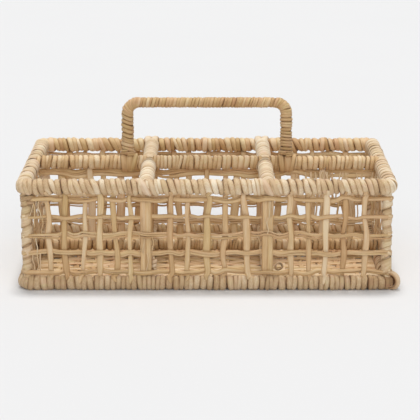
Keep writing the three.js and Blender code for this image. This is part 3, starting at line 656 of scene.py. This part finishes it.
weftLook = dict(
    stepsPerKnot=4, thick=0.0012, swing=0.0015, postSwing=1.9, levelSpread=0.0006, wander=0.0012,
    sag=0.0008, sagSpread=0.0009, cornerSpread=0.0008, breadths=(0.85, 1.15),
    ripple=0.2, rippleRates=(20, 45), roll=0.5, rollRates=(8, 20), stray=0.0007, strayRates=(14, 30))


def onRail(level, degrees):  # height, place outwards and facing on a rail's skin
    a = math.radians(degrees)
    r = weave["railRadius"]
    return (level + r * math.sin(a), r * math.cos(a), math.cos(a), math.sin(a))


def weftSide(row, column):  # 1 where the weft passes outside
    return 1 if (row + column) % 2 == 0 else -1


def onPanel(spec, across, height, outwards, facing):  # a place on the panel and the strand's facing there
    origin, ahead, out = (np.array(spec[k], float) for k in ("origin", "ahead", "out"))
    up = np.array(upward, float)
    faceAhead, faceOut, faceUp = facing
    return np.concatenate([origin + ahead * across + up * height + out * outwards,
                           ahead * faceAhead + out * faceOut + up * faceUp])


def stakeKnots(spec, column, chance):  # height, place outwards and facing up one stake
    look = stakeLook
    knots = [(spec["bottom"] - look["tuck"], 0.0, 1, 0)]
    if spec["overRails"] and chance.random() < look["overBase"]:
        angles = (chance.uniform(*look["baseEnd"]), *look["baseAngles"])
        knots = [onRail(baseLevel, angle) for angle in angles]
    knots += [(z, -weftSide(row, column) * look["swing"], 1, 0) for row, z in enumerate(spec["levels"])]
    if spec["overRails"] and chance.random() < look["overRim"]:
        angles = (*look["rimAngles"], chance.uniform(*look["rimEnd"]))
        return knots + [onRail(rimLevel, angle) for angle in angles]
    return knots + [(spec["top"] + look["tuck"], 0.0, 1, 0)]


def layStake(spec, column, at, chance):
    look = stakeLook
    lean = chance.normal(0, look["lean"])
    middle = (spec["bottom"] + spec["top"]) / 2
    knots = []
    for z, outwards, faceOut, faceUp in stakeKnots(spec, column, chance):
        across = at + chance.normal(0, look["wander"]) + lean * (z - middle)
        knots.append(onPanel(spec, across, z, outwards, (0, faceOut, faceUp)))
    share = np.linspace(0, 1, look["steps"] + 1)
    width = look["width"] * spec["broad"] * chance.uniform(*look["breadths"])
    width = rippled(width * np.interp(share, *look["taper"]), share, look, chance)
    twist = look["twist"] * wave(share, look["twistRates"], chance) * np.interp(share, *look["twistTaper"])
    tone = drawTone(chance, spec["tone"] + look["paler"], weave)
    return layRoute(throughPoints(knots, look["steps"]), width, look["thick"], tone, leafSection, roll=twist)


def weftEnd(spec, end, way, level, chance):  # a weft stops there, or bends round the corner post
    wrap = spec["cornerWrap"]
    if not wrap:
        return [onPanel(spec, end, level, 0.0, (0, 1, 0))]
    knots = []
    for a in np.radians(wrap["angles"][::-way]):  # listed from the end inwards
        across = end + way * (wrap["radius"] * math.sin(a) - corner["inset"])
        outwards = wrap["radius"] * math.cos(a) - corner["inset"]
        height = level + chance.normal(wrap["rise"], weftLook["cornerSpread"])
        knots.append(onPanel(spec, across, height, outwards, (way * math.sin(a), math.cos(a), 0)))
    return knots


def layWeft(spec, uprights, row, chance):
    look = weftLook
    level = spec["levels"][row] + chance.normal(0, look["levelSpread"])
    start, end = spec["ends"]
    knots = weftEnd(spec, start, -1, level, chance)
    for column, (at, kind) in enumerate(uprights):
        swing = weftSide(row, column) * look["swing"] * (look["postSwing"] if kind == "post" else 1)
        knots.append(onPanel(spec, at, level + chance.normal(0, look["wander"]), swing, (0, 1, 0)))
        if column + 1 < len(uprights):  # it sags a little between two uprights
            halfway = (at + uprights[column + 1][0]) / 2
            sagged = level - look["sag"] + chance.normal(0, look["sagSpread"])
            knots.append(onPanel(spec, halfway, sagged, 0.0, (0, 1, 0)))
    knots += weftEnd(spec, end, 1, level, chance)
    count = look["stepsPerKnot"] * len(knots)
    share = np.linspace(0, 1, count + 1)
    leaves = spec["leaves"][(row + spec["leafShift"]) % len(spec["leaves"])]
    strands = []
    for offset, breadth in leaves:
        route = throughPoints(knots, count)
        stray = look["stray"] * (len(leaves) - 0.5) / 2  # leaves that share a weft stray further apart
        route[:, 2] += offset + stray * wave(share, look["strayRates"], chance)
        width = rippled(breadth * chance.uniform(*look["breadths"]), share, look, chance)
        roll = look["roll"] * wave(share, look["rollRates"], chance)
        tone = drawTone(chance, spec["tone"] + spec["rowTones"][row], weave)
        strands.append(layRoute(route, width, look["thick"], tone, roll=roll))
    return strands


def wovenPanel(spec):
    chance = np.random.default_rng(spec["seed"])
    uprights = sorted([(at, "stake") for at in spec["stakes"]] + [(at, "post") for at in spec["posts"]])
    strands = []
    for column, (at, kind) in enumerate(uprights):
        if kind == "stake":
            strands.append(layStake(spec, column, at, chance))
    for row in range(len(spec["levels"])):
        strands += layWeft(spec, uprights, row, chance)
    return strands


def inBays(stops, count):  # places evenly spaced between each stop and the next
    return [low + (high - low) * (k + 1) / (count + 1)
            for low, high in zip(stops, stops[1:]) for k in range(count)]


cornerRoom = 0.011  # from a corner's wire to where the stakes begin
frontStakes = [-0.1744, -0.156, -0.1363, -0.118, -0.1014, -0.0848, -0.0397, -0.0207, 0.0009, 0.0202, 0.0435,
               0.0929, 0.1127, 0.1314, 0.1516, 0.1749]  # as they stand in the photograph
backStakes = inBays([-halfLength + cornerRoom, -crossAt, crossAt, halfLength - cornerRoom], 5)
sideStakes = inBays([-halfDepth + cornerRoom, 0, halfDepth - cornerRoom], 4)
walls = dict(
    overRails=True, broad=1.0, leaves=weave["leaves"], leafShift=0, levels=weave["levels"],
    rowTones=[-0.08] * 5, bottom=0.0162, top=0.1073,
    cornerWrap=dict(radius=corner["radius"], angles=(150, 110, 70, 30), rise=0.0))
longWall = dict(walls, posts=[-crossAt, crossAt], ends=(-halfLength, halfLength))
frontWall = dict(
    longWall, origin=(0, -halfDepth, 0), ahead=rightward, out=frontward, stakes=frontStakes,
    tone=0.62, seed=101)
backWall = dict(
    # the back wall is paler than the front: painted light on faces that lie in shade inside
    longWall, origin=(0, halfDepth, 0), ahead=leftward, out=backward, stakes=backStakes, tone=0.8, seed=102,
    leafShift=1, levels=weave["levels"][:4] + [0.1042])
leftWall = dict(
    walls, origin=(-halfLength, 0, 0), ahead=frontward, out=leftward, stakes=sideStakes,
    # the side walls are palest: painted light on their shaded inner faces
    posts=[0.0], ends=(-halfDepth, halfDepth), tone=0.92, seed=103, leafShift=2, broad=1.14,
    cornerWrap=dict(radius=corner["radius"] - 0.0007, angles=(80, 30), rise=0.0007))
rightWall = dict(leftWall, origin=(halfLength, 0, 0), ahead=backward, out=rightward, seed=104)
for name, node, spec in (
        ("frontWeave", "front_weave", frontWall), ("backWeave", "back_weave", backWall),
        ("sideWeaveLeft", "side_weave_left", leftWall), ("sideWeaveRight", "side_weave_right", rightWall)):
    joinStrands(name, wovenPanel(spec), "weave_strand", weaveFibre, node)

dividers = dict(
    overRails=False, broad=1.0, leaves=weave["leaves"], leafShift=3, rowTones=[-0.04] * 3, tone=0.82,
    cornerWrap=None)
dividerGap, wallGap = 0.006, 0.004  # how far a divider's ends stay from the wires there
midPanel = dict(
    dividers, origin=(0, 0, 0), ahead=rightward, out=frontward, broad=1.2, stakes=inBays(midStops, 3),
    posts=[-crossAt, crossAt], ends=(-halfLength + dividerGap, halfLength - dividerGap),
    # the top weft is darker: painted shadow of the mid rail above it
    bottom=0.0268, top=0.1126, levels=[0.0493, 0.0767, 0.1078], rowTones=[0.0, 0.0, -0.34], seed=111,
    leafShift=0, leaves=[[(0.0029, 0.0026), (0.0002, 0.0028), (-0.0029, 0.0024)],
                         [(0.0027, 0.0028), (-0.0001, 0.0023), (-0.0028, 0.0026)],
                         [(0.0026, 0.0042), (-0.0002, 0.0034), (-0.0031, 0.0044)]])
joinStrands("midWeave", wovenPanel(midPanel), "weave_strand", weaveFibre, "mid_weave")
crossPanel = dict(
    dividers, ahead=backward, out=rightward, posts=[], bottom=0.022, top=0.1076,
    levels=[0.0459, 0.0749, 0.1013], seed=121)
crossEnds = dict(front=(-halfDepth + wallGap, -dividerGap), back=(dividerGap, halfDepth - wallGap))
crossBays = [(*side, *bay) for side in leftAndRight for bay in crossEnds.items()]
for index, (sideName, way, depthName, ends) in enumerate(crossBays):
    spec = dict(crossPanel, origin=(way * crossAt, 0, 0), stakes=inBays(ends, 3), ends=ends,
                seed=crossPanel["seed"] + index)
    joinStrands("crossWeave" + depthName.title() + sideName.title(), wovenPanel(spec),
                "weave_strand", weaveFibre, "cross_weave_" + depthName + "_" + sideName)
print("woven panels laid")

looseLook = dict(
    levels=weave["levels"], steps=16, breadth=(0.0007, 0.0015), thick=0.0005, wander=0.0014,
    heights=[0, 0.3, 0.65, 1], lifts=((0.001, 0.0036), (0.0008, 0.003)), roll=0.6,
    tone=0.8, toneSpread=0.14, toneLimits=(0.4, 1))


# thin fibres frayed off between two wefts, tucked in at both
def looseFibres(look):
    chance = np.random.default_rng(look["seed"])
    out = np.array(look["out"], float)
    beside = np.cross(out, upward)
    fibres = []
    for _ in range(look["count"]):
        row = chance.integers(0, len(look["levels"]) - 1)
        heights = np.interp(look["heights"], [0, 1], look["levels"][row:row + 2])
        across = chance.uniform(-look["spread"], look["spread"])
        across = across + np.cumsum(chance.normal(0, look["wander"], len(heights)))
        lifts = [0.0] + [chance.uniform(*limits) for limits in look["lifts"]] + [0.0]
        knots = [np.concatenate([np.array((*look["place"], z)) + beside * u + out * lift, out])
                 for z, lift, u in zip(heights, lifts, across)]
        tone = drawTone(chance, look["tone"], look)
        width = chance.uniform(*look["breadth"])
        roll = chance.uniform(-look["roll"], look["roll"])
        fibres.append(layRoute(throughPoints(knots, look["steps"]), width, look["thick"], tone, roll=roll))
    return fibres


def flatPost(name, node, place, out, look, index):  # a broad flat post where a divider meets the frame
    seed = look["seed"] + index
    chance = np.random.default_rng(seed)
    out = np.array(out, float)
    beside = np.cross(out, upward)
    low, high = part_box(node)
    knots = []
    for z in np.linspace(low.z - look["tuck"], high.z + look["tuck"], look["knots"]):
        knots.append(np.concatenate([np.array((*place, z)) + out * chance.normal(0, look["wander"]), out]))
    route = throughPoints(knots, look["steps"])
    share = np.linspace(0, 1, look["steps"] + 1)
    strands = []
    for part, breadth in look["leaves"]:
        leaf = route.copy()
        leaf[:, :3] += beside * (look["width"] * part) - out * (look["thick"] * look["sunk"])
        width = rippled(look["width"] * breadth, share, look, chance)
        tone = chance.normal(look["tone"], look["toneSpread"])
        roll = look["roll"] * np.sin(share * look["rollRate"] + part * look["rollShift"])
        strands.append(layRoute(leaf, width, look["thick"], tone, leafSection, roll=roll))
    surface = np.array(place) + out[:2] * look["thick"] / 2
    strands += looseFibres(dict(looseLook, place=surface, out=out, spread=look["width"] / 2,
                                count=look["fibres"], seed=seed + look["fibreSeed"]))
    joinStrands(name, strands, "weave_strand", weaveFibre, node)


postLook = dict(
    width=0.0122, thick=0.0022, steps=36, knots=7, tuck=0.003, wander=0.0003, sunk=0.35,
    leaves=((-0.24, 0.56), (0.22, 0.6)),  # lapped along the middle: place and breadth in shares of the width
    ripple=0.06, rippleRates=(5, 9), roll=0.12, rollRate=5, rollShift=9, tone=0.7, toneSpread=0.07, seed=141,
    fibres=5, fibreSeed=300)
innerPostLook = dict(postLook, width=0.0098, fibres=0)
posts = [(depthName, sideName, (sideWay * crossAt, depthWay * halfDepth), (0, depthWay, 0), postLook)
         for depthName, depthWay, sideName, sideWay in fourCorners]
posts += [("side", sideName, (way * halfLength, 0), (way, 0, 0), postLook) for sideName, way in leftAndRight]
posts += [("inner", sideName, (way * crossAt, 0), frontward, innerPostLook) for sideName, way in leftAndRight]
for index, (where, sideName, place, out, look) in enumerate(posts):
    flatPost(where + "Post" + sideName.title(), where + "_post_" + sideName, place, out, look, index)

# on the left wall's inner face, outside beside the left corner, and on the right bay of the middle divider
leftFray = dict(looseLook, place=(-halfLength + 0.0012, -0.078), out=rightward, spread=0.034,
                count=100, seed=451)
cornerFray = dict(looseLook, place=(-halfLength + 0.012, -halfDepth - 0.0008), out=frontward, spread=0.008,
                  count=8, seed=452)
midFray = dict(looseLook, place=(0.155, -0.0014), out=frontward, spread=0.044, count=40, seed=453,
               levels=midPanel["levels"], breadth=(0.0014, 0.003))
frayed = [fibre for look in (leftFray, cornerFray, midFray) for fibre in looseFibres(look)]
joinStrands("frayedFibres", frayed, "weave_strand", weaveFibre)
print("posts laid")

# floor: pairs of strands woven over and under ribs that carry on from the stakes
floor = dict(
    ribs=sorted(backStakes + [-crossAt, crossAt]), ribWidth=0.0066, ribTone=0.5, ribWander=0.0005,
    pitch=0.0103, pair=(-0.25, 0.25), pairWidth=0.46, tone=0.68, wander=0.0007, thick=0.0019,
    weaveRise=0.0009, lowest=0.0005, stepsPerKnot=4, breadths=(0.85, 1.12),
    ripple=0.16, rippleRates=(20, 50), rollSpread=0.1, roll=0.2, rollRates=(12, 40),
    toneSpread=0.24, toneLimits=(0.2, 1), seed=161)
low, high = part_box("floor_weave")
chance = np.random.default_rng(floor["seed"])
strands = []
rows = int(round((high.y - low.y) / floor["pitch"]))
step = (high.y - low.y) / rows
weaveLevel = high.z - floor["thick"] - floor["weaveRise"]


def floorStrand(places, width, tone, section):
    knots = [(*place, *upward) for place in places]
    count = floor["stepsPerKnot"] * (len(knots) - 1)
    share = np.linspace(0, 1, count + 1)
    widths = rippled(width * chance.uniform(*floor["breadths"]), share, floor, chance)
    roll = chance.normal(0, floor["rollSpread"]) + floor["roll"] * wave(share, floor["rollRates"], chance)
    tone = drawTone(chance, tone, floor)
    return layRoute(throughPoints(knots, count), widths, floor["thick"], tone, section, floor["lowest"], roll)


def floorRise(row, rib):  # how high a strand goes over a rib; the rib goes as far the other way
    return floor["weaveRise"] * (1 if (row + rib) % 2 else -1)


for row in range(rows):
    for part in floor["pair"]:
        y = low.y + (row + 0.5 + part) * step
        places = [(low.x, y, weaveLevel)]
        for rib, x in enumerate(floor["ribs"]):
            places.append((x, y + chance.normal(0, floor["wander"]), weaveLevel + floorRise(row, rib)))
        places.append((high.x, y, weaveLevel))
        strands.append(floorStrand(places, step * floor["pairWidth"], floor["tone"], strandSection))
for rib, x in enumerate(floor["ribs"]):
    places = [(x, low.y, weaveLevel)]
    for row in range(rows):
        places.append((x + chance.normal(0, floor["ribWander"]), low.y + (row + 0.5) * step,
                       weaveLevel - floorRise(row, rib)))
    places.append((x, high.y, weaveLevel))
    strands.append(floorStrand(places, floor["ribWidth"], floor["ribTone"], leafSection))
joinStrands("floorWeave", strands, "floor_strand", floorFibre, "floor_weave")
print("floor laid")

# lashings at the handle's feet: a collar round the leg, a band round the rail, and leaves down both its sides
lashing = dict(
    bandReach=0.0086, collarLevels=(0.0078, 0.0128), seed=171,
    collar=dict(midWinding, radius=0.0089, thick=0.0024, pitch=0.0026, widthShare=1.3, widthSpread=0.1,
                tone=0.46, lean=0.1, toneSpread=0.06, seed=177),
    band=dict(midWinding, radius=0.0092, thick=0.0016, pitch=0.0062, widthShare=1.2, tone=0.5, lean=-0.2,
              toneSpread=0.08, seed=175),
    leaves=[(-0.0046, 0.002, 0.0074), (0.0008, -0.0012, 0.0086), (0.0064, -0.0064, 0.0058)],
    leaf=dict(angles=(80, -105), thick=0.0018), leafRadius=0.009, leafLift=0.0007, wander=0.0006,
    shiftSpread=0.001, tone=0.5, toneSpread=0.06, toneLimits=(0.3, 1))
for index, (sideName, way) in enumerate(leftAndRight):
    chance = np.random.default_rng(lashing["seed"] + index)
    x = way * legAt
    level = midLevel - midSag[sideName]
    bandPath = pathOf([(x - lashing["bandReach"], 0, level), (x + lashing["bandReach"], 0, level)], upward)
    collarPath = pathOf([(x, 0, midLevel + rise) for rise in lashing["collarLevels"]], backward)
    strands = [wind(bandPath, lashing["band"], index), wind(collarPath, lashing["collar"], index)]
    for out in (frontward, backward):
        for at, shift, width in lashing["leaves"]:
            place = (x + at + chance.normal(0, lashing["wander"]), 0, level)
            radius = lashing["leafRadius"] + chance.uniform(0, lashing["leafLift"])
            shift = shift + chance.normal(0, lashing["shiftSpread"])
            tone = drawTone(chance, lashing["tone"], lashing)
            leaf = dict(lashing["leaf"], radius=radius, shift=shift, width=width, tone=tone)
            strands.append(overRail(place, rightward, out, leaf))
    joinStrands("footLashing" + sideName.title(), strands,
                "handle_strand", handleFibre, "foot_lashing_" + sideName)
print("handle lashed")

for rod in blankStrands.values():
    bpy.data.objects.remove(rod)

paperLook = dict(size=14, speckScale=3.0, colours=[(0.734, 0.736, 0.746, 1), (0.744, 0.746, 0.756, 1)],
                 rough=0.9, metal=0.0, shine=0.0)
bpy.ops.object.select_all(action="DESELECT")
bpy.ops.mesh.primitive_plane_add(size=paperLook["size"], location=(0, 0, 0))
ground = bpy.context.active_object
ground.name = "studioFloor"
ground.data.materials.append(speckledMaterial("studioPaper", paperLook))

studio = dict(
    sky=0.42, skyColour=(0.96, 0.985, 1.0, 1), lampsAt=(0, 1, 2),
    lights=[dict(name="keyLight", power=1.93, spread=13, colour=(1.0, 0.985, 0.965), tilt=(-9.2, 0, 0)),
            dict(name="fillLight", power=1.0, spread=50, colour=(1.0, 0.985, 0.96), tilt=(52, 4, 0))])
world = bpy.data.worlds.new("studioAir")
bpy.context.scene.world = world
world.use_nodes = True
background = world.node_tree.nodes["Background"]
feed(world.node_tree, background, dict(Color=studio["skyColour"], Strength=studio["sky"]))
for lamp in studio["lights"]:  # a broad light overhead, and a weaker one from the camera's side
    bpy.ops.object.light_add(type="SUN", location=studio["lampsAt"])
    sun = bpy.context.active_object
    sun.name = lamp["name"]
    sun.data.energy = lamp["power"]
    sun.data.angle = math.radians(lamp["spread"])
    sun.data.color = lamp["colour"]
    sun.rotation_euler = [math.radians(angle) for angle in lamp["tilt"]]

view = dict(aim=(0.0036, 0.0, 0.0619), distance=2.068, elevation=13.62, lens=151.46, sensor=36)
tilt = math.radians(view["elevation"])
aim = Vector(view["aim"])
seat = aim + Vector((0, -math.cos(tilt), math.sin(tilt))) * view["distance"]
bpy.ops.object.camera_add(location=seat)
camera = bpy.context.active_object
camera.name = "photoCamera"
camera.data.lens = view["lens"]
camera.data.sensor_width = view["sensor"]
camera.rotation_mode = "QUATERNION"
camera.rotation_quaternion = (aim - seat).to_track_quat("-Z", "Y")
bpy.context.scene.camera = camera
bpy.context.scene.view_settings.view_transform = "Standard"
print("stage, light and camera set")
